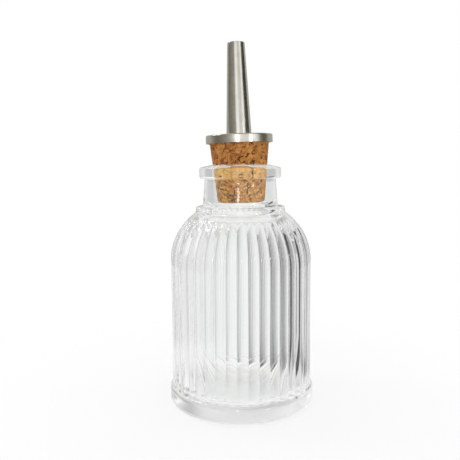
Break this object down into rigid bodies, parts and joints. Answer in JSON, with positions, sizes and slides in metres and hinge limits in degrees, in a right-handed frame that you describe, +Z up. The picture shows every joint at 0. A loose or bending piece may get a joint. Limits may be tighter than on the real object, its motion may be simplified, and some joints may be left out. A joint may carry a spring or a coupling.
{
  "type": "bitters bottle",
  "caption": "Reeded glass bitters bottle with a beaded shoulder and a thick lip, closed by a tapered cork that carries a steel collar and a slim tapered dash spout.",
  "frame": {"origin": "centre of the flat ring that the bottle stands on", "axes": "+Z up along the axis of the bottle, -Y towards the viewer of the pictured front, +X to the viewer's right"},
  "size_m": [0.054, 0.054, 0.1316],
  "materials": {
    "glass": "clear, fire polished",
    "cork": "pressed cork granules, dry",
    "steel": "satin"
  },
  "bodies": {
    "bottle": {"glass_bottle": "glass"},
    "cork": {"cork_stopper": "cork"},
    "dasher": {"collar_cap": "steel", "pour_spout": "steel", "stem_tube": "steel", "dash_insert": "steel"}
  },
  "joints": [
    {"name": "cork_pull", "type": "slide", "parent": "bottle", "child": "cork", "axis": [-0.0279, 0, 0.9996], "range_m": [0, 0.03]},
    {"name": "dasher_pull", "type": "slide", "parent": "cork", "child": "dasher", "axis": [-0.0279, 0, 0.9996], "range_m": [0, 0.03]}
  ]
}
